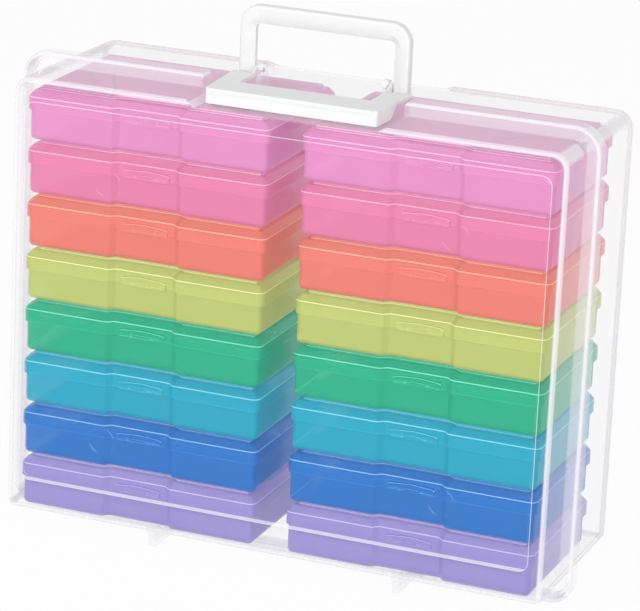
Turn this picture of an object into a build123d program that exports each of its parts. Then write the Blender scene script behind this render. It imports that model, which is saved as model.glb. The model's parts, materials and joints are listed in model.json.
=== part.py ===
from build123d import *
import math
import os

# Photo keeper case: a clear shell and a hinged front cover that hold sixteen small
# photo boxes, with a white carrying handle and latch on top.  Millimetres.
# X runs to the right, +Y to the back, Z up.  The origin is under the middle of the case.

# ---- the case -------------------------------------------------------------
case_width = 387.0            # across the rim
rim_height = 308.0            # rim, bottom edge to top edge
rim_top_corner = 18.0         # rim's outer corner radii
rim_low_corner = 14.0
wall_top_corner = 11.5        # corner radii of the walls
wall_low_corner = 5.5
foot_height = 5.0             # feet stand this far below the rim
panel_to_rim = 31.0           # cover's front face back to the rim
rim_depth = 12.0              # rim, front to back
shell_depth = 102.0           # front of the rim to the back of the case
rim_overhang = 9.5            # rim's outer edge out from the walls
cover_wall = 2.0
shell_wall = 2.1
rim_skin = 2.0                # rim's thickness, on both mouldings
rim_gap = 0.6                 # between the two nested rims
face_gap = 0.4                # between cover and shell, front to back
cover_edge_radius = 4.5       # cover's rounded front edge
rim_edge_radius = 3.2
shell_rear_radius = 5.0
shell_drop = 2.0              # the shell's top falls this much towards the back

# ---- the cover's raised front panel ----------------------------------------
panel_width = 349.4
panel_bottom_margin = 21.0    # from the cover's lower wall up to the panel
panel_top_margin = 15.0
panel_raise = 1.0
panel_edge = 0.6              # rounding of the panel's edge
panel_corner = 7.0
panel_border = 2.2            # band round the panel, solid to its full height
ring_radius = 9.0             # faint moulded ring near each corner of the panel
ring_line = 0.6
ring_height = 0.25
ring_spread = 116.0           # rings left and right of the middle
ring_bottom_margin = 36.0     # from the panel's lower edge to the lower rings
ring_top_margin = 46.3
gate_radius = 1.6             # moulding gate in the middle of the panel
gate_height = 0.5

# ---- the channel across the top ---------------------------------------------
cover_notch_width = 120.0     # at the channel's floor, on the cover
cover_notch_flare = 7.0       # each side is this much wider at the top
cover_notch_depth = 3.9
shell_notch_width = 114.0
shell_notch_flare = 13.0
shell_notch_depth = 5.0
notch_skin = 1.5              # the channel floor's thickness
rim_end_radius = 3.0          # rounded ends of the rim beside the channel

# ---- the boxes ----------------------------------------------------------------
box_rows = 8
box_length = 165.5            # over the lid, left to right
box_depth = 113.5             # over the lid, front to back
box_height = 34.7
box_gap = 0.3                 # under each box
aisle = 21.0                  # between the two columns
box_front_gap = 1.5           # behind the cover's panel
box_corner = 5.0
box_wall = 1.3
base_step = 1.5               # the base is this much smaller than its lid
base_rear_step = 3.5          # and this much at the back, where the hinge is
base_height = 25.5
base_bottom_radius = 3.2
skirt_bottom = 19.6           # the lid's lower edge
skirt_top = 28.2              # where the lid's sloping shoulder starts
shoulder_in = 4.0
shoulder_top = 32.4
crown_in = 7.0                # the lid's raised top is set in this far
crown_corner = 2.0
shoulder_break = 0.8          # softened edge between the skirt and the shoulder
crown_radius = 0.5
waist_width = 46.8            # drawn-in middle of the box's front
waist_depth = 3.7
pad_width = 31.0              # snap pad in the middle of the lid's front
pad_height = 6.8
pad_drop = 1.2                # the pad reaches this far below the lid's edge
pad_raise = 1.1
pad_corner = 2.2
pad_bar = 9.0
pad_bar_height = 1.8
pad_bar_corner = 0.8
pad_bar_raise = 0.6
pad_hole = 1.1                # radius of the dimple at each side of the bar
pad_hole_spread = 7.4
knuckle_spread = 45.0         # box hinge knuckles left and right of its middle
knuckle_length = 12.0
knuckle_radius = 1.0
knuckle_height = 22.6
knuckle_tab = 2.0             # lid's tab at each side of a knuckle
knuckle_gap = 0.25

# ---- handle and latch -------------------------------------------------------------
handle_width = 114.0
handle_leg = 10.2             # leg, left to right
handle_bar = 11.8             # top bar, top to bottom
handle_thick = 8.0
handle_rise = 42.0            # top of the bar above the pivot
handle_outer_corner = 13.0
handle_inner_corner = 3.5
handle_edge = 1.6
handle_bevel = 4.4            # sloping band round the opening, as seen from the front
handle_bevel_depth = 2.2
pivot_back = 66.0             # pivot behind the cover's front face
pivot_below_rim = 1.5         # pivot below the rim's top
handle_pin_radius = 1.5
side_clearance = 0.4          # between parts side by side on a pin
pin_clearance = 0.05
press_clearance = 0.01
ear_thick = 3.3
ear_radius = 5.0
ear_base = 9.0                # ear's foot, each way from the pivot
pin_grip = 2.3                # the pin's length inside the ear
pin_cover = 2.0               # the pin's end lies this deep inside the leg
pin_end_gap = 0.2
latch_front = 10.0            # latch plate's front behind the cover's front face
latch_drop = 2.5              # plate's top below the rim's top
latch_thick = 2.2
latch_skirt = 10.0            # plate's front edge, top to bottom
latch_wall = 2.0
latch_side = 3.1              # the plate's strip beside the handle's leg
latch_flare = 3.5             # each side spreads this much towards the pivot
latch_bar = 23.3              # front bar, front to back
latch_arm = 13.0
latch_arm_gap = 7.0           # arm's end in front of the pivot
latch_skirt_full = 18.5       # the plate's side stays at full height for this long
latch_skirt_rise = 13.0       # and then sweeps up over this length
latch_link = 2.4              # link from the arm to the pin, between the leg and the ear
latch_knuckle = 3.5
latch_lip = 0.9               # finger lip along the plate's front
latch_lip_height = 2.6
latch_corner = 2.5
latch_edge = 0.9

# ---- hinge and feet ----------------------------------------------------------------
hinge_spread = 84.5           # each hinge left and right of the middle
hinge_back = 47.0             # hinge axis behind the cover's front face
hinge_height = 3.6
hinge_eye = 3.4
hinge_pin_radius = 1.5
fin_thick = 4.0               # cover's foot fin, with the hinge eye at its end
fin_front = 12.5              # its front end behind the cover's front face
fin_slope = 4.5               # and the front edge leans this far forward at the top
fin_corner = 1.5
lug_thick = 3.5               # shell's foot ribs beside the fin
foot_start = 64.0             # shell's feet touch down from here
foot_end = 120.0
relief_height = 5.2           # rib's underside between its eye and its foot
relief_start = 50.6
overlap = 0.6                 # pieces of one moulding run into each other by this
cut_margin = 1.0              # cuts run past what they cut by this

# ---- places worked out from the sizes ----------------------------------------------
total_depth = gate_height + panel_raise + panel_to_rim + shell_depth
face_y = -total_depth / 2 + gate_height + panel_raise
rear_y = total_depth / 2
rim_y = face_y + panel_to_rim
rim_back_y = rim_y + rim_depth
plate_back_y = rim_y + rim_skin
shell_y = plate_back_y + face_gap
rim_bottom = foot_height
rim_top = rim_bottom + rim_height
wall_bottom = rim_bottom + rim_overhang
wall_top = rim_top - rim_overhang
wall_half = case_width / 2 - rim_overhang
floor_top = wall_bottom + shell_wall
row_pitch = box_height + box_gap
column_x = (aisle + box_length) / 2
box_front_y = face_y + cover_wall + box_front_gap
box_mid_y = box_front_y + box_depth / 2
pivot_y = face_y + pivot_back
pivot_z = rim_top - pivot_below_rim
handle_half = handle_width / 2
hinge_y = face_y + hinge_back
latch_y = face_y + latch_front
latch_top = rim_top - latch_drop
latch_half = handle_half + side_clearance + latch_side
cover_notch_z = wall_top - cover_notch_depth
shell_notch_z = wall_top - shell_notch_depth
rim_break = cover_notch_width / 2 + cover_notch_flare
panel_low = wall_bottom + panel_bottom_margin
panel_high = wall_top - panel_top_margin

os.makedirs("parts", exist_ok=True)


def write(piece, name):
    piece.part.label = name
    export_step(piece.part, f"parts/{name}.step")


def facing(y):
    """Upright plane at y that looks to the front, x to the right and z up."""
    return Plane(origin=(0, y, 0), x_dir=(1, 0, 0), z_dir=(0, -1, 0))


def across(x):
    """Upright plane at x, with y and z as its axes."""
    return Plane(origin=(x, 0, 0), x_dir=(0, 1, 0), z_dir=(1, 0, 0))


def upright_outline(y, half, low, high, top_corner, low_corner):
    """Upright rectangle at y, its top and its low corners rounded by radii of their own."""
    with BuildSketch(facing(y)) as outline:
        with Locations((0, (low + high) / 2)):
            Rectangle(2 * half, high - low)
        fillet(outline.vertices().group_by(Axis.Y)[-1], top_corner)
        fillet(outline.vertices().group_by(Axis.Y)[0], low_corner)
    return outline.sketch


def wall_outline(y, inset, drop=0.0):
    """Outline of the case's walls, drawn in by inset, its top lower by drop."""
    return upright_outline(
        y,
        wall_half - inset,
        wall_bottom + inset,
        wall_top - inset - drop,
        wall_top_corner - inset,
        wall_low_corner - inset,
    )


def rim_block(front, back, inset):
    """Block with the rim's outline, drawn in by inset, from y = front to y = back."""
    with BuildPart() as block:
        with BuildSketch(facing(back)):
            add(
                upright_outline(
                    back,
                    case_width / 2 - inset,
                    rim_bottom + inset,
                    rim_top - inset,
                    rim_top_corner - inset,
                    rim_low_corner - inset,
                )
            )
        extrude(amount=back - front)
    return block


def channel(floor_half, flare, floor_z, front, back):
    """The space of the channel across the top, from y = front to y = back."""
    side = floor_half + flare
    with BuildPart() as space:
        with BuildSketch(facing(back)):
            Polygon(
                (-floor_half, floor_z),
                (floor_half, floor_z),
                (side, wall_top),
                (side, rim_top + cut_margin),
                (-side, rim_top + cut_margin),
                (-side, wall_top),
                align=None,
            )
        extrude(amount=back - front)
    return space.part


def rim_end_cut(half, front, back):
    """Rounds the rim's upper corner where it ends beside the channel."""
    with BuildPart() as cut:
        with BuildSketch(facing(back)):
            for side in (-1, 1):
                with Locations((side * (half + rim_end_radius / 2), rim_top - rim_end_radius / 2)):
                    Rectangle(rim_end_radius, rim_end_radius)
                with Locations((side * (half + rim_end_radius), rim_top - rim_end_radius)):
                    Circle(rim_end_radius, mode=Mode.SUBTRACT)
        extrude(amount=back - front)
    return cut.part


def pin_holes(radius, spans, y, z):
    """Round holes along x, one for each (start, end) in spans."""
    with BuildPart() as holes:
        for start, end in spans:
            with BuildSketch(across(start)):
                with Locations((y, z)):
                    Circle(radius)
            extrude(amount=end - start)
    return holes.part


# ---- front cover --------------------------------------------------------------------
with BuildPart() as cover_body:
    with BuildSketch(facing(plate_back_y)):
        add(wall_outline(plate_back_y, 0))
    extrude(amount=plate_back_y - face_y)
    fillet(cover_body.faces().sort_by(Axis.Y)[0].edges(), cover_edge_radius)

cover_rim = rim_block(rim_y, rim_back_y, 0)
with cover_rim:
    fillet(cover_rim.faces().sort_by(Axis.Y)[0].edges(), rim_edge_radius)

with BuildPart() as cover_space:
    with BuildSketch(facing(plate_back_y)):
        add(wall_outline(plate_back_y, cover_wall))
    extrude(amount=plate_back_y - face_y - cover_wall)
    fillet(cover_space.faces().sort_by(Axis.Y)[0].edges(), cover_edge_radius - cover_wall)
    add(
        channel(
            cover_notch_width / 2 + notch_skin / 2,
            cover_notch_flare,
            cover_notch_z - notch_skin,
            face_y,
            plate_back_y,
        ),
        mode=Mode.SUBTRACT,
    )

pocket = rim_block(plate_back_y, rim_back_y, rim_skin)
with pocket:
    with Locations((0, (plate_back_y + rim_back_y) / 2, wall_top + rim_gap)):
        Box(
            2 * (rim_break + rim_skin),
            rim_depth,
            rim_top,
            align=(Align.CENTER, Align.CENTER, Align.MIN),
            mode=Mode.SUBTRACT,
        )

with BuildPart() as panel:
    panel_size = (panel_width, panel_high - panel_low)
    with BuildSketch(facing(face_y + cover_edge_radius)):
        with Locations((0, (panel_low + panel_high) / 2)):
            RectangleRounded(*panel_size, panel_corner)
    extrude(amount=cover_edge_radius + panel_raise)
    edge_top = panel.faces().sort_by(Axis.Y)[0].edges()
    fillet(edge_top, panel_edge)

with BuildPart() as panel_space:
    with BuildSketch(facing(face_y + cover_wall)):
        with Locations((0, (panel_low + panel_high) / 2)):
            RectangleRounded(
                panel_size[0] - 2 * panel_border,
                panel_size[1] - 2 * panel_border,
                panel_corner - panel_border,
            )
    extrude(amount=panel_raise)

with BuildPart() as panel_marks:
    with BuildSketch(facing(face_y - panel_raise + overlap)):
        with Locations(
            *[
                (side * ring_spread, z)
                for side in (-1, 1)
                for z in (panel_low + ring_bottom_margin, panel_high - ring_top_margin)
            ]
        ):
            Circle(ring_radius)
            Circle(ring_radius - ring_line, mode=Mode.SUBTRACT)
    extrude(amount=overlap + ring_height)
    with BuildSketch(facing(face_y - panel_raise + overlap)):
        with Locations((0, (panel_low + panel_high) / 2)):
            Circle(gate_radius)
    extrude(amount=overlap + gate_height)

with BuildPart() as cover_fins:
    for side in (-1, 1):
        with BuildSketch(across(side * hinge_spread - fin_thick / 2)):
            Polygon(
                (face_y + fin_front, 0),
                (hinge_y, 0),
                (hinge_y, hinge_height + hinge_eye),
                (rim_back_y - overlap, hinge_height + hinge_eye),
                (rim_back_y - overlap, rim_bottom + overlap),
                (rim_y + overlap, rim_bottom + overlap),
                (rim_y + overlap, wall_bottom + overlap),
                (face_y + fin_front - fin_slope, wall_bottom + overlap),
                align=None,
            )
            with Locations((hinge_y, hinge_height)):
                Circle(hinge_eye)
        extrude(amount=fin_thick)
    front_low = cover_fins.edges().filter_by(Axis.X).group_by(Axis.Z)[0].group_by(Axis.Y)[0]
    fillet(front_low, fin_corner)

fin_spans = [
    (side * hinge_spread - fin_thick, side * hinge_spread + fin_thick) for side in (-1, 1)
]

with BuildPart() as front_cover:
    add(cover_body.part)
    add(cover_rim.part)
    add(panel.part)
    add(panel_marks.part)
    add(cover_space.part, mode=Mode.SUBTRACT)
    add(panel_space.part, mode=Mode.SUBTRACT)
    add(pocket.part, mode=Mode.SUBTRACT)
    add(
        channel(
            cover_notch_width / 2,
            cover_notch_flare,
            cover_notch_z,
            face_y - cut_margin,
            rim_back_y + cut_margin,
        ),
        mode=Mode.SUBTRACT,
    )
    add(
        rim_end_cut(rim_break, rim_y - cut_margin, rim_back_y + cut_margin),
        mode=Mode.SUBTRACT,
    )
    add(cover_fins.part)
    add(
        pin_holes(hinge_pin_radius + pin_clearance, fin_spans, hinge_y, hinge_height),
        mode=Mode.SUBTRACT,
    )

write(front_cover, "front_cover")


# ---- rear shell -----------------------------------------------------------------------
with BuildPart() as shell_body:
    with BuildSketch(facing(shell_y)):
        add(wall_outline(shell_y, 0))
    with BuildSketch(facing(rear_y)):
        add(wall_outline(rear_y, 0, shell_drop))
    loft(ruled=True)
    fillet(shell_body.faces().sort_by(Axis.Y)[-1].edges(), shell_rear_radius)

with BuildPart() as shell_space:
    with BuildSketch(facing(shell_y)):
        add(wall_outline(shell_y, shell_wall))
    with BuildSketch(facing(rear_y - shell_wall)):
        add(wall_outline(rear_y, shell_wall, shell_drop))
    loft(ruled=True)
    fillet(shell_space.faces().sort_by(Axis.Y)[-1].edges(), shell_rear_radius - shell_wall)
    add(
        channel(
            shell_notch_width / 2 + notch_skin / 2,
            shell_notch_flare,
            shell_notch_z - notch_skin,
            shell_y,
            rear_y,
        ),
        mode=Mode.SUBTRACT,
    )

flange_inset = rim_skin + rim_gap
flange = rim_block(shell_y, rim_back_y, flange_inset)
flange_space = rim_block(shell_y + rim_skin, rim_back_y, flange_inset + rim_skin)
lug_inner = fin_thick / 2 + side_clearance
lug_spans = []
for place in (-hinge_spread, hinge_spread):
    for side in (-1, 1):
        lug_mid = place + side * (lug_inner + lug_thick / 2)
        lug_spans.append((lug_mid - lug_thick / 2, lug_mid + lug_thick / 2))

with BuildPart() as shell_lugs:
    for start, end in lug_spans:
        with BuildSketch(across(start)):
            Polygon(
                (hinge_y - hinge_eye, hinge_height),
                (hinge_y, hinge_height),
                (face_y + relief_start, relief_height),
                (face_y + foot_start - overlap, relief_height),
                (face_y + foot_start, 0),
                (face_y + foot_end, 0),
                (face_y + foot_end, wall_bottom + overlap),
                (hinge_y - hinge_eye, wall_bottom + overlap),
                align=None,
            )
            with Locations((hinge_y, hinge_height)):
                Circle(hinge_eye)
        extrude(amount=end - start)

leg_inner = handle_half - handle_leg
link_inner = leg_inner - side_clearance - latch_link
ear_outer = link_inner - side_clearance
pin_inner = ear_outer - pin_grip
ear_spans = [(-ear_outer, -ear_outer + ear_thick), (ear_outer - ear_thick, ear_outer)]

with BuildPart() as shell_ears:
    for start, end in ear_spans:
        with BuildSketch(across(start)):
            with BuildLine():
                foot_z = shell_notch_z - overlap
                top_arc = CenterArc((pivot_y, pivot_z), ear_radius, 0, 180)
                Polyline(
                    top_arc @ 1,
                    (pivot_y - ear_base, foot_z),
                    (pivot_y + ear_base, foot_z),
                    top_arc @ 0,
                )
            make_face()
        extrude(amount=end - start)

with BuildPart() as rear_shell:
    add(shell_body.part)
    add(flange.part)
    add(flange_space.part, mode=Mode.SUBTRACT)
    add(shell_body.part)
    add(shell_space.part, mode=Mode.SUBTRACT)
    add(
        channel(
            shell_notch_width / 2,
            shell_notch_flare,
            shell_notch_z,
            shell_y - cut_margin,
            rear_y + cut_margin,
        ),
        mode=Mode.SUBTRACT,
    )
    add(shell_lugs.part)
    add(shell_ears.part)
    add(
        pin_holes(hinge_pin_radius + press_clearance, lug_spans, hinge_y, hinge_height),
        mode=Mode.SUBTRACT,
    )
    add(
        pin_holes(
            handle_pin_radius + press_clearance,
            [(-ear_outer, -pin_inner), (pin_inner, ear_outer)],
            pivot_y,
            pivot_z,
        ),
        mode=Mode.SUBTRACT,
    )

write(rear_shell, "rear_shell")

# ---- pins ----------------------------------------------------------------------------------
hinge_pin_half = lug_inner + lug_thick
pin_outer = handle_half - pin_cover
hinge_pin = (hinge_pin_radius, hinge_y, hinge_height)
handle_pin = (handle_pin_radius, pivot_y, pivot_z)
pins = {
    "left_hinge_pin": (-hinge_spread - hinge_pin_half, -hinge_spread + hinge_pin_half, *hinge_pin),
    "right_hinge_pin": (hinge_spread - hinge_pin_half, hinge_spread + hinge_pin_half, *hinge_pin),
    "left_handle_pin": (-pin_outer, -pin_inner, *handle_pin),
    "right_handle_pin": (pin_inner, pin_outer, *handle_pin),
}
for name, (start, end, radius, y, z) in pins.items():
    with BuildPart() as pin:
        with BuildSketch(across(start)):
            with Locations((y, z)):
                Circle(radius)
        extrude(amount=end - start)
    write(pin, name)

# ---- handle -----------------------------------------------------------------------------------
pin_reach = pin_outer + pin_end_gap
leg_hole_spans = [(-pin_reach, -leg_inner), (leg_inner, pin_reach)]
handle_top = pivot_z + handle_rise
leg_end = pivot_z - handle_thick


def hand_outline(y, grow):
    """Outline of the opening under the bar, made wider and higher by grow."""
    low = leg_end - cut_margin
    high = handle_top - handle_bar + grow
    with BuildSketch(facing(y)) as outline:
        with Locations((0, (low + high) / 2)):
            Rectangle(2 * (leg_inner + grow), high - low)
        fillet(outline.vertices().group_by(Axis.Y)[-1], handle_inner_corner + grow)
    return outline.sketch


with BuildPart() as handle_limit:
    with BuildSketch(across(-handle_half)):
        with Locations((pivot_y, pivot_z)):
            Circle(handle_thick / 2)
        with Locations((pivot_y, (pivot_z + handle_top) / 2)):
            Rectangle(handle_thick, handle_top - pivot_z)
    extrude(amount=handle_width)

with BuildPart() as handle:
    with Locations((0, pivot_y, (leg_end + handle_top) / 2)):
        Box(handle_width, handle_thick, handle_top - leg_end)
    fillet(handle.edges().filter_by(Axis.Y).group_by(Axis.Z)[-1], handle_outer_corner)
    fillet(handle.faces().filter_by(Axis.Y).edges(), handle_edge)
    with BuildSketch(facing(pivot_y + handle_thick / 2)):
        add(hand_outline(pivot_y + handle_thick / 2, 0))
    extrude(amount=handle_thick, mode=Mode.SUBTRACT)
    for side in (-1, 1):
        with BuildSketch(facing(pivot_y + side * handle_thick / 2)):
            add(hand_outline(pivot_y + side * handle_thick / 2, handle_bevel))
        with BuildSketch(facing(pivot_y + side * (handle_thick / 2 - handle_bevel_depth))):
            add(hand_outline(pivot_y + side * (handle_thick / 2 - handle_bevel_depth), 0))
        loft(ruled=True, mode=Mode.SUBTRACT)
    add(handle_limit.part, mode=Mode.INTERSECT)
    add(
        pin_holes(handle_pin_radius + pin_clearance, leg_hole_spans, pivot_y, pivot_z),
        mode=Mode.SUBTRACT,
    )

write(handle, "handle")

# ---- latch plate ---------------------------------------------------------------------------------
latch_low = latch_top - latch_skirt
latch_under = latch_top - latch_thick
latch_end = pivot_y - latch_arm_gap
latch_tail = pivot_y - handle_thick / 2
front_half = latch_half - latch_flare
window_half = front_half - latch_arm


def latch_plan(inset, height, low, beyond=0.0):
    """Block in the plan of the plate, which spreads from the front to its tail."""
    with BuildPart() as block:
        with BuildSketch(Plane.XY.offset(low)):
            plan = Polygon(
                (-front_half + inset, latch_y + inset),
                (front_half - inset, latch_y + inset),
                (latch_half - inset, latch_tail + beyond),
                (-latch_half + inset, latch_tail + beyond),
                align=None,
            )
            fillet(plan.vertices().group_by(Axis.Y)[0], latch_corner - inset)
        extrude(amount=height)
    return block.part


with BuildPart() as latch_below:
    sweep_start = latch_y + latch_skirt_full
    sweep_end = sweep_start + latch_skirt_rise
    with BuildSketch(across(-latch_half - cut_margin)):
        with BuildLine():
            rise = Spline(
                (sweep_start, latch_low),
                (sweep_end, latch_under),
                tangents=((1, 0), (1, 0)),
            )
            Polyline(
                rise @ 1,
                (latch_tail + cut_margin, latch_under),
                (latch_tail + cut_margin, latch_low - cut_margin),
                (sweep_start, latch_low - cut_margin),
                rise @ 0,
            )
        make_face()
    extrude(amount=2 * (latch_half + cut_margin))

with BuildPart() as latch_links:
    for side in (-1, 1):
        start = link_inner if side > 0 else -link_inner - latch_link
        with BuildSketch(across(start)):
            with Locations((pivot_y, pivot_z)):
                Circle(latch_knuckle)
            Polygon(
                (latch_end - latch_knuckle, latch_under),
                (pivot_y, pivot_z - latch_knuckle),
                (pivot_y, pivot_z + latch_knuckle),
                (latch_end - latch_knuckle, latch_top),
                align=None,
            )
        extrude(amount=latch_link)

link_outer = link_inner + latch_link
link_spans = [(-link_outer, -link_inner), (link_inner, link_outer)]
leg_room = handle_half + side_clearance

with BuildPart() as latch_plate:
    add(latch_plan(0, latch_skirt, latch_low))
    add(latch_below.part, mode=Mode.SUBTRACT)
    fillet(latch_plate.faces().sort_by(Axis.Z)[-1].edges().group_by(Axis.Y)[:-1], latch_edge)
    add(
        latch_plan(latch_wall, latch_skirt, latch_under - latch_skirt, cut_margin),
        mode=Mode.SUBTRACT,
    )
    for half, room_start in ((window_half, latch_y + latch_bar), (leg_room, latch_end)):
        with Locations((0, room_start, latch_low)):
            Box(
                2 * half,
                latch_tail + cut_margin - room_start,
                latch_skirt + cut_margin,
                align=(Align.CENTER, Align.MIN, Align.MIN),
                mode=Mode.SUBTRACT,
            )
    with Locations((0, latch_y, latch_top - latch_lip_height / 2)):
        Box(2 * (front_half - latch_corner), 2 * latch_lip, latch_lip_height)
    add(latch_links.part)
    add(
        pin_holes(handle_pin_radius + pin_clearance, link_spans, pivot_y, pivot_z),
        mode=Mode.SUBTRACT,
    )

write(latch_plate, "latch_plate")

# ---- boxes -----------------------------------------------------------------------------------------
# Each box is drawn round its own middle, with y = 0 at the lid's front, then put in its place.


def box_outline(height, inset, rear_inset, corner):
    """Plan of a box with its drawn-in front, set in from the lid's outer faces."""
    front = inset
    back = box_depth - rear_inset
    mouth = waist_width / 2 + inset * math.sqrt(2) + waist_depth
    floor = waist_width / 2 - waist_depth + inset * (math.sqrt(2) - 1)
    with BuildSketch(Plane.XY.offset(height)) as outline:
        with Locations((0, (front + back) / 2)):
            RectangleRounded(box_length - 2 * inset, back - front, corner)
        Polygon(
            (-mouth, -waist_depth),
            (mouth, -waist_depth),
            (floor, waist_depth + inset),
            (-floor, waist_depth + inset),
            align=None,
            mode=Mode.SUBTRACT,
        )
    return outline.sketch


def knuckle_tabs(z_low, z_high, inner, outer):
    """Upright plates beside each hinge knuckle, at the lid's rear wall."""
    depth_start = box_depth - base_rear_step + knuckle_gap
    with BuildPart() as tabs:
        for place in (-knuckle_spread, knuckle_spread):
            for side in (-1, 1):
                with Locations((place + side * (inner + outer) / 2, depth_start, z_low)):
                    Box(
                        outer - inner,
                        base_rear_step - knuckle_gap - box_wall / 2,
                        z_high - z_low,
                        align=(Align.CENTER, Align.MIN, Align.MIN),
                    )
    return tabs.part


knuckle_half = knuckle_length / 2

with BuildPart() as box_base:
    with BuildSketch(Plane.XY):
        add(box_outline(0, base_step, base_rear_step, box_corner - base_step))
    extrude(amount=base_height)
    fillet(box_base.faces().sort_by(Axis.Z)[0].edges(), base_bottom_radius)
    with BuildSketch(Plane.XY.offset(box_wall)):
        add(
            box_outline(
                box_wall,
                base_step + box_wall,
                base_rear_step + box_wall,
                box_corner - base_step - box_wall,
            )
        )
    extrude(amount=base_height, mode=Mode.SUBTRACT)
    for place in (-knuckle_spread, knuckle_spread):
        with BuildSketch(Plane(origin=(place - knuckle_half, 0, 0), x_dir=(0, 1, 0), z_dir=(1, 0, 0))):
            with Locations((box_depth - base_rear_step + knuckle_radius, knuckle_height)):
                Circle(knuckle_radius)
            with Locations((box_depth - base_rear_step, knuckle_height)):
                Rectangle(2 * knuckle_radius, knuckle_radius)
        extrude(amount=knuckle_length)

with BuildPart() as lid_hollow:
    with BuildSketch(Plane.XY.offset(skirt_bottom)):
        add(box_outline(skirt_bottom, box_wall, box_wall, box_corner - box_wall))
    extrude(amount=skirt_top - skirt_bottom)
    with BuildSketch(Plane.XY.offset(skirt_top)):
        add(box_outline(skirt_top, box_wall, box_wall, box_corner - box_wall))
    with BuildSketch(Plane.XY.offset(shoulder_top - box_wall)):
        inner_in = shoulder_in + box_wall
        add(box_outline(shoulder_top - box_wall, inner_in, inner_in, crown_corner))
    loft(ruled=True)
    with BuildSketch(Plane.XY.offset(skirt_top)):
        inner_in = crown_in + box_wall
        add(box_outline(skirt_top, inner_in, inner_in, crown_corner - box_wall))
    extrude(amount=box_height - box_wall - skirt_top)

with BuildPart() as snap_pad:
    pad_low = skirt_bottom - pad_drop
    pad_face = waist_depth - pad_raise
    pad_plane = Plane(origin=(0, waist_depth + box_wall / 2, 0), x_dir=(1, 0, 0), z_dir=(0, -1, 0))
    with BuildSketch(pad_plane):
        with Locations((0, pad_low + pad_height / 2)):
            RectangleRounded(pad_width, pad_height, pad_corner)
    extrude(amount=waist_depth + box_wall / 2 - pad_face)
    with BuildSketch(pad_plane):
        with Locations((0, pad_low + pad_height / 2)):
            RectangleRounded(pad_bar, pad_bar_height, pad_bar_corner)
    extrude(amount=waist_depth + box_wall / 2 - pad_face + pad_bar_raise)
    dimple_plane = Plane(origin=(0, pad_face, 0), x_dir=(1, 0, 0), z_dir=(0, 1, 0))
    with BuildSketch(dimple_plane):
        with Locations((-pad_hole_spread, -pad_low - pad_height / 2)):
            Circle(pad_hole)
        with Locations((pad_hole_spread, -pad_low - pad_height / 2)):
            Circle(pad_hole)
    extrude(amount=pad_raise, mode=Mode.SUBTRACT)

with BuildPart() as box_lid:
    break_low = skirt_top - shoulder_break
    break_high = skirt_top + shoulder_break / 2
    break_in = shoulder_break / 2
    with BuildSketch(Plane.XY.offset(skirt_bottom)):
        add(box_outline(skirt_bottom, 0, 0, box_corner))
    extrude(amount=break_low - skirt_bottom)
    with BuildSketch(Plane.XY.offset(break_low)):
        add(box_outline(break_low, 0, 0, box_corner))
    with BuildSketch(Plane.XY.offset(break_high)):
        add(box_outline(break_high, break_in, break_in, box_corner - break_in))
    loft(ruled=True)
    with BuildSketch(Plane.XY.offset(break_high)):
        add(box_outline(break_high, break_in, break_in, box_corner - break_in))
    with BuildSketch(Plane.XY.offset(shoulder_top)):
        add(box_outline(shoulder_top, shoulder_in, shoulder_in, crown_corner))
    loft(ruled=True)
    with BuildSketch(Plane.XY.offset(skirt_top)):
        add(box_outline(skirt_top, crown_in, crown_in, crown_corner))
    extrude(amount=box_height - skirt_top)
    fillet(box_lid.faces().sort_by(Axis.Z)[-1].edges(), crown_radius)
    add(snap_pad.part)
    add(lid_hollow.part, mode=Mode.SUBTRACT)
    add(
        knuckle_tabs(
            skirt_bottom,
            skirt_top,
            knuckle_half + knuckle_gap,
            knuckle_half + knuckle_gap + knuckle_tab,
        )
    )

for column, side in (("left", -1), ("right", 1)):
    for row in range(1, box_rows + 1):
        row_z = floor_top + box_gap + (box_rows - row) * row_pitch
        for kind, shape in (("base", box_base), ("lid", box_lid)):
            with BuildPart() as piece:
                with Locations((side * column_x, box_front_y, row_z)):
                    add(shape.part)
            write(piece, f"{column}_box_{row}_{kind}")
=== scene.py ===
import json
import math

import bmesh
import bpy
import numpy as np
from mathutils import Matrix, Vector


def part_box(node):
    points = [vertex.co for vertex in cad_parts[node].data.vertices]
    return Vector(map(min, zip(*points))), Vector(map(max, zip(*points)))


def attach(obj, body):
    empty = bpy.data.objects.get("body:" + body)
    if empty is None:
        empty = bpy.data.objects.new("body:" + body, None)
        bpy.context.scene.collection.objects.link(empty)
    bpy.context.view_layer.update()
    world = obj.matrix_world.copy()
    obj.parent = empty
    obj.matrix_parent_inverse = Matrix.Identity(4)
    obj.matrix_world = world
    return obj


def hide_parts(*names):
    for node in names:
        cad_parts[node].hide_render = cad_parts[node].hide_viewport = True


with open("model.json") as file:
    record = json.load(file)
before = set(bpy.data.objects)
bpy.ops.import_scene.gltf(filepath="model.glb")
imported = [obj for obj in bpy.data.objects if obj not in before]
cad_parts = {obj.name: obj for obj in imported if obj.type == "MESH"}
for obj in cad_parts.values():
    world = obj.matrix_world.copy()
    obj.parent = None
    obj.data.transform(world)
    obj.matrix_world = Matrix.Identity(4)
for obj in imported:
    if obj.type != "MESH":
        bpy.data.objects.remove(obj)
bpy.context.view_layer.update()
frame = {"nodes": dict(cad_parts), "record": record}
print("frame loaded:", len(frame["nodes"]), "nodes")

mm = 0.001
nodes = frame["nodes"]
scene = bpy.context.scene


# ---------- camera ----------
# the photograph's view: lens in pixels of a frame 640 wide, place in mm, angles in degrees
view = {
    "lensPixels": 3486.9,
    "framePixels": 640.0,
    "sensor": 36.0,
    "place": (776.1, -1976.4, 832.1),
    "yaw": 21.339,
    "pitch": 17.497,
    "roll": 2.587,
}


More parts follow.
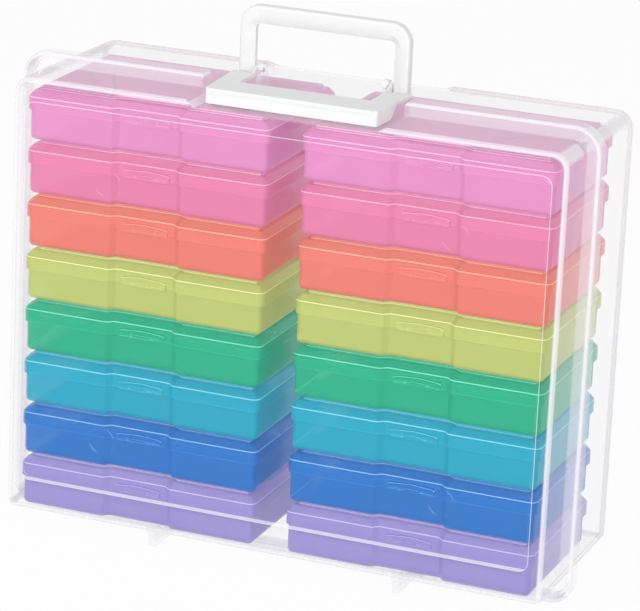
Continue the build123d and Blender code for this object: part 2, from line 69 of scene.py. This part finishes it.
def makeCamera():
    yaw, pitch, roll = (math.radians(view[k]) for k in ("yaw", "pitch", "roll"))
    ahead = Vector((-math.sin(yaw) * math.cos(pitch), math.cos(yaw) * math.cos(pitch), -math.sin(pitch)))
    right = Vector((math.cos(yaw), math.sin(yaw), 0))
    up = right.cross(ahead)
    tiltedRight = math.cos(roll) * right + math.sin(roll) * up
    tiltedUp = math.cos(roll) * up - math.sin(roll) * right
    data = bpy.data.cameras.new("camera")
    data.sensor_width = view["sensor"]
    data.lens = view["lensPixels"] * view["sensor"] / view["framePixels"]
    data.clip_end = 20
    turn = Matrix((tiltedRight, tiltedUp, -ahead)).transposed().to_4x4()
    camera = bpy.data.objects.new("camera", data)
    camera.matrix_world = Matrix.Translation(Vector(view["place"]) * mm) @ turn
    scene.collection.objects.link(camera)
    scene.camera = camera


makeCamera()
print("camera set")


# ---------- materials ----------
def linear(hexColour):
    # sRGB hex to linear red, green, blue and a full alpha
    parts = [int(hexColour[i:i + 2], 16) / 255 for i in (1, 3, 5)]
    flat = [c / 12.92 if c <= 0.04045 else ((c + 0.055) / 1.055) ** 2.4 for c in parts]
    return (*flat, 1.0)


def addNode(tree, kind, settings=None, inputs=None, links=None):
    # one shader node: its settings, plain socket values, and links given as (socket, other node, its socket)
    node = tree.nodes.new(kind)
    for name, value in (settings or {}).items():
        setattr(node, name, value)
    for name, value in (inputs or {}).items():
        node.inputs[name].default_value = value
    for name, other, socket in links or ():
        tree.links.new(other.outputs[socket], node.inputs[name])
    return node


def newMaterial(name):
    material = bpy.data.materials.new(name)
    material.use_nodes = True
    tree = material.node_tree
    tree.nodes.clear()
    return material, tree


def finishMaterial(tree, shader, socket="BSDF"):
    addNode(tree, "ShaderNodeOutputMaterial", links=[("Surface", shader, socket)])


def wear(node, material):
    node.data.materials.clear()
    node.data.materials.append(material)


def thinAlpha(tree, faceOn, grazing, steepness, shade):
    # how solid a thin wall looks: little face on, more at a grazing view, and less still to the rays
    # that carry light to what is behind it
    view = addNode(tree, "ShaderNodeLayerWeight", inputs={"Blend": 0.5})
    slope = addNode(tree, "ShaderNodeMath", {"operation": "POWER"}, {1: steepness}, [(0, view, "Facing")])
    seen = addNode(tree, "ShaderNodeMapRange", inputs={"To Min": faceOn, "To Max": grazing},
                   links=[("Value", slope, "Value")])
    path = addNode(tree, "ShaderNodeLightPath")
    lighting = addNode(tree, "ShaderNodeMath", {"operation": "MAXIMUM"},
                       links=[(0, path, "Is Shadow Ray"), (1, path, "Is Diffuse Ray")])
    passing = addNode(tree, "ShaderNodeMapRange", inputs={"To Min": 1.0, "To Max": shade},
                      links=[("Value", lighting, "Value")])
    return addNode(tree, "ShaderNodeMath", {"operation": "MULTIPLY"},
                   links=[(0, seen, "Result"), (1, passing, "Result")])


def roundedEdge(tree, low, high):
    # mask of the painted edge highlight: 0 on the flat walls and 1 where a rounded edge or corner turns between them:
    # one less the largest part of the piece's own normal
    place = addNode(tree, "ShaderNodeTexCoord")
    size = addNode(tree, "ShaderNodeVectorMath", {"operation": "ABSOLUTE"}, links=[(0, place, "Normal")])
    parts = addNode(tree, "ShaderNodeSeparateXYZ", links=[("Vector", size, "Vector")])
    pair = addNode(tree, "ShaderNodeMath", {"operation": "MAXIMUM"}, links=[(0, parts, "X"), (1, parts, "Y")])
    most = addNode(tree, "ShaderNodeMath", {"operation": "MAXIMUM"}, links=[(0, pair, "Value"), (1, parts, "Z")])
    return addNode(tree, "ShaderNodeMapRange",
                   inputs={"From Min": 1 - low, "From Max": 1 - high, "To Min": 0.0, "To Max": 1.0},
                   links=[("Value", most, "Value")])


# clear polypropylene, injection moulded: colourless, a little milky, soft gloss, faint flow marks;
# its rounded edges get a painted highlight, drawn more opaque white than its flat walls
casePlastic = {
    "colour": "#FBF8FD",
    "faceOn": 0.015,
    "grazing": 0.42,
    "steepness": 3.2,
    "shade": 0.2,
    "edgeHighlightAlpha": 0.55,
    "edgeLow": 0.01,
    "edgeHigh": 0.13,
    "rimAlpha": 0.10,
    "wallHalf": 184.0,
    "wallLow": 14.5,
    "wallHigh": 303.5,
    # the border along the panel's foot is solid plastic and gets a painted highlight, a more opaque white band:
    # height, half height, front
    "footHighlightAlpha": 0.5,
    "footMiddle": 36.7,
    "footHalf": 1.3,
    "footFront": -65.9,
    "roughness": 0.14,
    "flowSize": 38.0,
    "flowDepth": 0.04,
}


def outsideWalls(tree, p):
    # 1 out on the doubled rim, 0 inside the walls' outline
    place = addNode(tree, "ShaderNodeTexCoord")
    parts = addNode(tree, "ShaderNodeSeparateXYZ", links=[("Vector", place, "Object")])
    across = addNode(tree, "ShaderNodeMath", {"operation": "ABSOLUTE"}, links=[(0, parts, "X")])
    wide = addNode(tree, "ShaderNodeMath", {"operation": "GREATER_THAN"}, {1: p["wallHalf"] * mm},
                   [(0, across, "Value")])
    high = addNode(tree, "ShaderNodeMath", {"operation": "GREATER_THAN"}, {1: p["wallHigh"] * mm},
                   [(0, parts, "Z")])
    low = addNode(tree, "ShaderNodeMath", {"operation": "LESS_THAN"}, {1: p["wallLow"] * mm},
                  [(0, parts, "Z")])
    ends = addNode(tree, "ShaderNodeMath", {"operation": "MAXIMUM"}, links=[(0, high, "Value"), (1, low, "Value")])
    return addNode(tree, "ShaderNodeMath", {"operation": "MAXIMUM"}, links=[(0, wide, "Value"), (1, ends, "Value")])


def panelFoot(tree, p):
    # 1 on the border along the foot of the cover's raised panel, where the painted highlight goes
    place = addNode(tree, "ShaderNodeTexCoord")
    parts = addNode(tree, "ShaderNodeSeparateXYZ", links=[("Vector", place, "Object")])
    level = addNode(tree, "ShaderNodeMath", {"operation": "COMPARE"},
                    {1: p["footMiddle"] * mm, 2: p["footHalf"] * mm}, [(0, parts, "Z")])
    front = addNode(tree, "ShaderNodeMath", {"operation": "LESS_THAN"}, {1: p["footFront"] * mm},
                    [(0, parts, "Y")])
    return addNode(tree, "ShaderNodeMath", {"operation": "MULTIPLY"},
                   links=[(0, level, "Value"), (1, front, "Value")])


def clearPlastic():
    p = casePlastic
    material, tree = newMaterial("clearPolypropylene")
    place = addNode(tree, "ShaderNodeTexCoord")
    flow = addNode(tree, "ShaderNodeTexNoise", inputs={"Scale": 1 / (p["flowSize"] * mm), "Detail": 2.0},
                   links=[("Vector", place, "Object")])
    bump = addNode(tree, "ShaderNodeBump", inputs={"Strength": p["flowDepth"], "Distance": 0.001},
                   links=[("Height", flow, "Fac")])
    walls = thinAlpha(tree, p["faceOn"], p["grazing"], p["steepness"], p["shade"])
    edge = roundedEdge(tree, p["edgeLow"], p["edgeHigh"])
    rimmed = addNode(tree, "ShaderNodeMath", {"operation": "MULTIPLY_ADD"}, {1: p["rimAlpha"]},
                     [(0, outsideWalls(tree, p), "Value"), (2, walls, "Value")])
    # painted highlight: the border along the panel's foot is drawn more opaque white
    footHighlighted = addNode(tree, "ShaderNodeMath", {"operation": "MULTIPLY_ADD"}, {1: p["footHighlightAlpha"]},
                     [(0, panelFoot(tree, p), "Value"), (2, rimmed, "Value")])
    # painted highlight: the rounded edges are drawn more opaque white
    alpha = addNode(tree, "ShaderNodeMath", {"operation": "MULTIPLY_ADD"}, {1: p["edgeHighlightAlpha"]},
                    [(0, edge, "Result"), (2, footHighlighted, "Value")])
    shader = addNode(tree, "ShaderNodeBsdfPrincipled",
                     inputs={"Base Color": linear(p["colour"]), "Roughness": p["roughness"],
                             "IOR": 1.49, "Specular IOR Level": 0.22},
                     links=[("Normal", bump, "Normal"), ("Alpha", alpha, "Value")])
    finishMaterial(tree, shader)
    return material


# tinted polypropylene, injection moulded: strong colour in a thin wall, satin gloss; a painted highlight,
# a paler and more opaque tint, runs along each lid's shoulder edge
boxTints = ["#E690C8", "#E880AC", "#EE7C6E", "#C0CC70", "#00B488", "#00AAC8", "#1276CC", "#9F94D8"]
# paler tints of the painted highlight along the lids' shoulder edges, one per row
highlightTints = ["#FFD3EC", "#FFC8DC", "#FFC4A8", "#FBF6B0", "#8FEFC8", "#9AEFFA", "#9CCBF8", "#D6D0FF"]
boxPlastic = {"faceOn": 0.52, "grazing": 0.80, "steepness": 2.0, "shade": 0.1, "roughness": 0.17,
              "flowSize": 16.0, "highlightTilt": 0.36, "highlightSpread": 0.24, "highlightAlpha": 0.35}


def shoulderHighlightMask(tree, tilt, spread):
    # mask of the painted highlight: 1 where the surface leans back so that the upright part of its normal
    # is near tilt, as on the rounded edge along a lid's shoulder, and 0 beyond spread
    place = addNode(tree, "ShaderNodeTexCoord")
    parts = addNode(tree, "ShaderNodeSeparateXYZ", links=[("Vector", place, "Normal")])
    off = addNode(tree, "ShaderNodeMath", {"operation": "SUBTRACT"}, {1: tilt}, [(0, parts, "Z")])
    away = addNode(tree, "ShaderNodeMath", {"operation": "ABSOLUTE"}, links=[(0, off, "Value")])
    return addNode(tree, "ShaderNodeMapRange",
                   inputs={"From Min": spread, "From Max": spread / 3, "To Min": 0.0, "To Max": 1.0},
                   links=[("Value", away, "Value")])


def tintedPlastic(row, colour, highlightColour):
    p = boxPlastic
    material, tree = newMaterial("tintedPolypropylene%d" % row)
    place = addNode(tree, "ShaderNodeTexCoord")
    flow = addNode(tree, "ShaderNodeTexNoise", inputs={"Scale": 1 / (p["flowSize"] * mm), "Detail": 3.0},
                   links=[("Vector", place, "Object")])
    bump = addNode(tree, "ShaderNodeBump", inputs={"Strength": 0.04, "Distance": 0.001},
                   links=[("Height", flow, "Fac")])
    walls = thinAlpha(tree, p["faceOn"], p["grazing"], p["steepness"], p["shade"])
    # painted highlight along the lid's shoulder edge: there the tint turns paler and the wall more opaque
    shoulderHighlight = shoulderHighlightMask(tree, p["highlightTilt"], p["highlightSpread"])
    alpha = addNode(tree, "ShaderNodeMath", {"operation": "MULTIPLY_ADD"}, {1: p["highlightAlpha"]},
                    [(0, shoulderHighlight, "Result"), (2, walls, "Value")])
    tintWithHighlight = addNode(tree, "ShaderNodeMix", {"data_type": "RGBA"},
                   {6: linear(colour), 7: linear(highlightColour)}, [(0, shoulderHighlight, "Result")])
    shader = addNode(tree, "ShaderNodeBsdfPrincipled",
                     inputs={"Roughness": p["roughness"], "IOR": 1.49, "Specular IOR Level": 0.3},
                     links=[("Base Color", tintWithHighlight, 2), ("Normal", bump, "Normal"), ("Alpha", alpha, "Value")])
    finishMaterial(tree, shader)
    return material


def whitePlastic():
    # white polypropylene: opaque, satin
    material, tree = newMaterial("whitePolypropylene")
    place = addNode(tree, "ShaderNodeTexCoord")
    grain = addNode(tree, "ShaderNodeTexNoise", inputs={"Scale": 2500.0, "Detail": 2.0},
                    links=[("Vector", place, "Object")])
    bump = addNode(tree, "ShaderNodeBump", inputs={"Strength": 0.04, "Distance": 0.0002},
                   links=[("Height", grain, "Fac")])
    shader = addNode(tree, "ShaderNodeBsdfPrincipled",
                     inputs={"Base Color": linear("#EBECEC"), "Roughness": 0.35, "IOR": 1.49},
                     links=[("Normal", bump, "Normal")])
    finishMaterial(tree, shader)
    return material


def drawnSteel():
    # drawn steel wire: bright, fine lines round the pin
    material, tree = newMaterial("drawnSteel")
    place = addNode(tree, "ShaderNodeTexCoord")
    lines = addNode(tree, "ShaderNodeTexNoise", inputs={"Scale": 4000.0},
                    links=[("Vector", place, "Object")])
    rough = addNode(tree, "ShaderNodeMapRange", inputs={"To Min": 0.25, "To Max": 0.4},
                    links=[("Value", lines, "Fac")])
    shader = addNode(tree, "ShaderNodeBsdfPrincipled",
                     inputs={"Base Color": linear("#EDEEF0"), "Metallic": 1.0},
                     links=[("Roughness", rough, "Result")])
    finishMaterial(tree, shader)
    return material


clear = clearPlastic()
white = whitePlastic()
steel = drawnSteel()
tints = [tintedPlastic(row + 1, *pair) for row, pair in enumerate(zip(boxTints, highlightTints))]

for name, node in nodes.items():
    if name in ("front_cover", "rear_shell"):
        wear(node, clear)
    elif name in ("handle", "latch_plate"):
        wear(node, white)
    elif name.endswith("_pin"):
        wear(node, steel)
    else:
        wear(node, tints[int(name.split("_")[2]) - 1])
print("materials made")


# ---------- swept shells ----------
# An outline is a closed run of corners in plan, each with a rounding radius, counter-clockwise.
# A profile is a run of (inset, height) points with radii. The shell is the outline redrawn at each
# profile point, drawn in by the inset and lifted to the height, so walls, edges and lips come out even.
def outlineRing(corners, radii, inset, steps=5, support=0.25):
    v = np.asarray(corners, float)
    ahead = np.roll(v, -1, 0) - v
    ahead /= np.linalg.norm(ahead, axis=1)[:, None]
    behind = np.roll(ahead, 1, 0)
    inA = np.stack([-ahead[:, 1], ahead[:, 0]], 1)
    inB = np.roll(inA, 1, 0)
    v = v + inset * (inA + inB) / (1 + (inA * inB).sum(1))[:, None]
    turn = np.arctan2(behind[:, 0] * ahead[:, 1] - behind[:, 1] * ahead[:, 0], (behind * ahead).sum(1))
    side = np.sign(turn)
    r = np.maximum(np.asarray(radii, float) - side * inset, 0.3)
    start = v - behind * (r * np.tan(np.abs(turn) / 2))[:, None]
    centre = start + inB * (side * r)[:, None]
    angle = turn[:, None] * np.linspace(0, 1, steps)[None]
    arm = (start - centre)[:, None]
    c, s = np.cos(angle), np.sin(angle)
    arc = centre[:, None] + np.stack([c * arm[..., 0] - s * arm[..., 1], s * arm[..., 0] + c * arm[..., 1]], -1)
    first = arc[:, :1] - behind[:, None] * support
    last = arc[:, -1:] + ahead[:, None] * support
    return np.concatenate([first, arc, last], 1).reshape(-1, 2)


def roundedProfile(points, radii, steps=4, support=0.15):
    # open run with its inner corners rounded; the two ends stay sharp
    v = np.asarray(points, float)
    a = v[1:-1] - v[:-2]
    b = v[2:] - v[1:-1]
    a /= np.linalg.norm(a, axis=1)[:, None]
    b /= np.linalg.norm(b, axis=1)[:, None]
    turn = np.arctan2(a[:, 0] * b[:, 1] - a[:, 1] * b[:, 0], (a * b).sum(1))
    side = np.sign(turn)
    r = np.asarray(radii, float)
    start = v[1:-1] - a * (r * np.tan(np.abs(turn) / 2))[:, None]
    left = np.stack([-a[:, 1], a[:, 0]], 1)
    centre = start + left * (side * r)[:, None]
    angle = turn[:, None] * np.linspace(0, 1, steps)[None]
    arm = (start - centre)[:, None]
    c, s = np.cos(angle), np.sin(angle)
    arc = centre[:, None] + np.stack([c * arm[..., 0] - s * arm[..., 1], s * arm[..., 0] + c * arm[..., 1]], -1)
    first = arc[:, :1] - a[:, None] * support
    last = arc[:, -1:] + b[:, None] * support
    inner = np.concatenate([first, arc, last], 1).reshape(-1, 2)
    return np.concatenate([v[:1], inner, v[-1:]], 0)


def sweptShell(corners, radii, profile, turnTo, steps=5, closed=True):
    # points and faces of the outline swept through the profile; turnTo places (u, v, height) in the room
    rings = [outlineRing(corners, radii, inset, steps) for inset, height in profile]
    n = len(rings[0])
    uv = np.concatenate(rings, 0)
    height = np.repeat(np.asarray(profile, float)[:, 1], n)
    points = turnTo(uv[:, 0], uv[:, 1], height)
    index = np.arange(len(points)).reshape(len(rings), n)
    a, b = index[:-1], index[1:]
    quads = np.stack([a, np.roll(a, -1, 1), np.roll(b, -1, 1), b], -1).reshape(-1, 4).tolist()
    faces = quads + ([index[0][::-1].tolist(), index[-1].tolist()] if closed else [])
    return points, outward(points, faces)


def outward(points, faces):
    # faces point out when the volume they enclose is positive
    total = 0.0
    for f in faces:
        p = points[f]
        total += np.einsum("ij,ij->", np.cross(p[1:-1] - p[0], p[2:] - p[0]), np.broadcast_to(p[0], p[2:].shape))
    return faces if total > 0 else [f[::-1] for f in faces]


def joinShells(shells):
    points, faces, start = [], [], 0
    for p, f in shells:
        points.append(p)
        faces += [[i + start for i in face] for face in f]
        start += len(p)
    return np.concatenate(points, 0), faces


def makePiece(name, points, faces, material, body, replaced=None, sharp=None):
    mesh = bpy.data.meshes.new(name)
    mesh.from_pydata((np.asarray(points) * mm).tolist(), [], faces)
    mesh.validate()
    mesh.shade_smooth()
    if sharp is not None:
        mesh.set_sharp_from_angle(angle=math.radians(sharp))
    piece = bpy.data.objects.new(name, mesh)
    scene.collection.objects.link(piece)
    mesh.materials.append(material)
    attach(piece, body)
    if replaced:
        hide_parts(replaced)
    return piece


# ---------- mouldings shaded from the construction ----------
def smoothCopy(name, material, edgeAngle=32.0):
    # the node's own mesh with its doubles merged; edges under edgeAngle are shaded round,
    # and each point's normal leans to its larger faces, so flats stay flat beside a fillet
    mesh = nodes[name].data.copy()
    mesh.name = name + "_moulding"
    if "custom_normal" in mesh.attributes:
        mesh.attributes.remove(mesh.attributes["custom_normal"])
    work = bmesh.new()
    work.from_mesh(mesh)
    bmesh.ops.remove_doubles(work, verts=work.verts, dist=0.002 * mm)
    work.to_mesh(mesh)
    work.free()
    mesh.shade_smooth()
    mesh.set_sharp_from_angle(angle=math.radians(edgeAngle))
    mesh.materials.clear()
    mesh.materials.append(material)
    piece = bpy.data.objects.new(name + "_moulding", mesh)
    scene.collection.objects.link(piece)
    normals = piece.modifiers.new("normals", "WEIGHTED_NORMAL")
    normals.keep_sharp = True
    normals.weight = 80
    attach(piece, bodyOf(name))
    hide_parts(name)


def bodyOf(name):
    return next(body for body, held in frame["record"]["behaviour"]["bodies"].items() if name in held)


for name, material, slot in (("front_cover", clear, "clear_case"), ("rear_shell", clear, "clear_case"),
                             ("handle", white, "white_plastic"), ("latch_plate", white, "white_plastic")):
    smoothCopy(name, material)
print("case, handle and latch made")


# ---------- the sixteen boxes ----------
box = {
    "length": 165.5,
    "depth": 113.5,
    "corner": 5.0,
    "waistHalf": 23.4,
    "waistDepth": 3.7,
    "waistCorner": 1.2,
    "wall": 1.3,
    "baseIn": 1.5,
    "baseRearIn": 3.5,
    "baseHigh": 25.5,
    "bottomRadius": 3.2,
    "skirtLow": 19.6,
    "skirtHigh": 28.2,
    "shoulderIn": 4.0,
    "shoulderHigh": 32.4,
    "crownIn": 7.0,
    "high": 34.7,
}
snapPad = {"half": 15.5, "low": 18.4, "side": 24.2, "top": 25.4, "corner": 2.0, "raise": 1.1,
           "barHalf": 4.5, "barHigh": 1.8, "barRaise": 0.6, "eyeSpread": 7.4, "eyeRadius": 1.1}


def waistedOutline(half, front, rear, inset):
    # rounded rectangle with a drawn-in middle at its front
    b = box
    mouth = b["waistHalf"] + inset * (math.sqrt(2) - 1)
    floor = mouth - b["waistDepth"]
    deep = front + b["waistDepth"]
    corners = [(-half, rear), (-half, front), (-mouth, front), (-floor, deep),
               (floor, deep), (mouth, front), (half, front), (half, rear)]
    outer = b["corner"] - inset
    w = b["waistCorner"]
    return corners, [outer, outer, w, w, w, w, outer, outer]


def boxLid(place):
    b = box
    corners, radii = waistedOutline(b["length"] / 2, 0, b["depth"], 0)
    w = b["wall"]
    profile = roundedProfile(
        [(14, b["high"] - w), (b["crownIn"] + w + 0.3, b["high"] - w), (b["crownIn"] + w, b["shoulderHigh"] - w),
         (b["shoulderIn"] + w, b["shoulderHigh"] - w), (w, b["skirtHigh"]), (w, b["skirtLow"]),
         (0, b["skirtLow"]), (0, b["skirtHigh"]), (b["shoulderIn"], b["shoulderHigh"]),
         (b["crownIn"], b["shoulderHigh"]), (b["crownIn"] + 0.3, b["high"]), (14, b["high"])],
        [0.5, 0.5, 0.5, 0.8, 0.3, 0.4, 1.2, 0.9, 0.4, 0.7])
    shells = [sweptShell(corners, radii, profile, place)]
    p = snapPad
    face = b["waistDepth"] - p["raise"]
    upright = lambda u, v, h: place(u, h, v)
    padShape = [(-p["half"], p["low"]), (p["half"], p["low"]), (p["half"], p["side"]), (0, p["top"]), (-p["half"], p["side"])]
    padProfile = roundedProfile([(0, b["waistDepth"] + 0.6), (0, face), (2.4, face)], [0.45])
    shells.append(sweptShell(padShape, [p["corner"], p["corner"], p["corner"], 40, p["corner"]], padProfile, upright))
    middle = (p["low"] + p["side"]) / 2
    bar = [(-p["barHalf"], middle - p["barHigh"] / 2), (p["barHalf"], middle - p["barHigh"] / 2),
           (p["barHalf"], middle + p["barHigh"] / 2), (-p["barHalf"], middle + p["barHigh"] / 2)]
    barProfile = roundedProfile([(0, face + 0.3), (0, face - p["barRaise"]), (0.6, face - p["barRaise"])], [0.25])
    shells.append(sweptShell(bar, [0.8] * 4, barProfile, upright))
    for side in (-1, 1):
        x, r = side * p["eyeSpread"], p["eyeRadius"]
        eye = [(x - r, middle - r), (x + r, middle - r), (x + r, middle + r), (x - r, middle + r)]
        eyeProfile = [(0, face + 0.3), (0, face - 0.2), (0.25, face - 0.2), (0.45, face + 0.1)]
        shells.append(sweptShell(eye, [r * 0.98] * 4, eyeProfile, upright))
    return joinShells(shells)


def boxBase(place):
    b = box
    corners, radii = waistedOutline(b["length"] / 2 - b["baseIn"], b["baseIn"],
                                    b["depth"] - b["baseRearIn"], b["baseIn"])
    w = b["wall"]
    profile = roundedProfile(
        [(14, w), (w, w), (w, b["baseHigh"]), (0, b["baseHigh"]), (0, 0), (14, 0)],
        [b["bottomRadius"] - w, 0.3, 0.3, b["bottomRadius"]], steps=6)
    return sweptShell(corners, radii, profile, place)


def makeBoxes():
    for name in nodes:
        if "_box_" not in name:
            continue
        column, _, row, kind = name.split("_")
        low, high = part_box("%s_box_%s_base" % (column, row))
        middle = (low.x + high.x) / 2 / mm
        front = low.y / mm - box["baseIn"]
        bottom = low.z / mm
        place = lambda u, v, h: np.stack([u + middle, v + front, h + bottom], -1)
        points, faces = (boxLid if kind == "lid" else boxBase)(place)
        body = "%s_box_%s" % (column, row)
        material = tints[int(row) - 1]
        makePiece(name + "_moulding", points, faces, material, body, name)


makeBoxes()
print("boxes made")


# ---------- floor and light ----------
studio = {
    "floorColour": "#FAFAFB",
    "floorSeen": 0.95,            # share of the floor that the camera sees as plain white
    "worldLight": 0.50,
    # name: (power, width, height, place)
    "lamps": {
        "frontStrip": (20.0, 2.2, 0.22, (-0.35, -1.75, 1.35)),
        "frontFill": (12.0, 2.4, 1.6, (0.5, -3.2, 0.75)),
        "rightFill": (16.0, 1.4, 1.4, (2.4, -0.9, 0.9)),
    },
}


def seenRay(tree):
    # 1 for rays from the camera and for those that gloss or clear plastic turns
    path = addNode(tree, "ShaderNodeLightPath")
    turned = addNode(tree, "ShaderNodeMath", {"operation": "MAXIMUM"},
                     links=[(0, path, "Is Glossy Ray"), (1, path, "Is Transmission Ray")])
    return addNode(tree, "ShaderNodeMath", {"operation": "MAXIMUM"},
                   links=[(0, path, "Is Camera Ray"), (1, turned, "Value")])


def makeFloor():
    # a wide flat floor, made as a grid
    u = np.linspace(-6, 6, 25)
    v = np.linspace(-4, 6, 41)
    x, y = np.meshgrid(u, v)
    z = np.zeros_like(x)
    points = np.stack([x, y, z], -1).reshape(-1, 3)
    index = np.arange(points.shape[0]).reshape(len(v), len(u))
    quads = np.stack([index[:-1, :-1], index[:-1, 1:], index[1:, 1:], index[1:, :-1]], -1).reshape(-1, 4)
    mesh = bpy.data.meshes.new("floor")
    mesh.from_pydata(points.tolist(), [], quads.tolist())
    floor = bpy.data.objects.new("floor", mesh)
    scene.collection.objects.link(floor)
    material, tree = newMaterial("palePaper")
    shader = addNode(tree, "ShaderNodeBsdfPrincipled",
                     inputs={"Base Color": linear(studio["floorColour"]), "Roughness": 0.9,
                             "Specular IOR Level": 0.0})
    paper = addNode(tree, "ShaderNodeEmission", inputs={"Color": (1, 1, 1, 1), "Strength": 1.0})
    share = addNode(tree, "ShaderNodeMath", {"operation": "MULTIPLY"}, {1: studio["floorSeen"]},
                    [(0, seenRay(tree), "Value")])
    mix = addNode(tree, "ShaderNodeMixShader",
                  links=[(0, share, "Value"), (1, shader, "BSDF"), (2, paper, "Emission")])
    finishMaterial(tree, mix, "Shader")
    wear(floor, material)


def makeLight():
    world = bpy.data.worlds.new("studio")
    scene.world = world
    world.use_nodes = True
    tree = world.node_tree
    tree.nodes.clear()
    soft = addNode(tree, "ShaderNodeBackground", inputs={"Color": (1, 1, 1, 1), "Strength": studio["worldLight"]})
    seen = addNode(tree, "ShaderNodeBackground", inputs={"Color": (1, 1, 1, 1), "Strength": 1.0})
    mix = addNode(tree, "ShaderNodeMixShader",
                  links=[(0, seenRay(tree), "Value"), (1, soft, "Background"), (2, seen, "Background")])
    addNode(tree, "ShaderNodeOutputWorld", links=[("Surface", mix, "Shader")])
    for name, (power, width, height, place) in studio["lamps"].items():
        lamp = bpy.data.lights.new(name, "AREA")
        lamp.shape = "RECTANGLE"
        lamp.energy = power
        lamp.size = width
        lamp.size_y = height
        light = bpy.data.objects.new(name, lamp)
        light.location = place
        light.rotation_euler = (Vector((0, 0, 0.15)) - light.location).to_track_quat("-Z", "Y").to_euler()
        scene.collection.objects.link(light)


makeFloor()
makeLight()
scene.view_settings.view_transform = "Standard"
scene.cycles.transparent_max_bounces = 64
print("floor and light set")
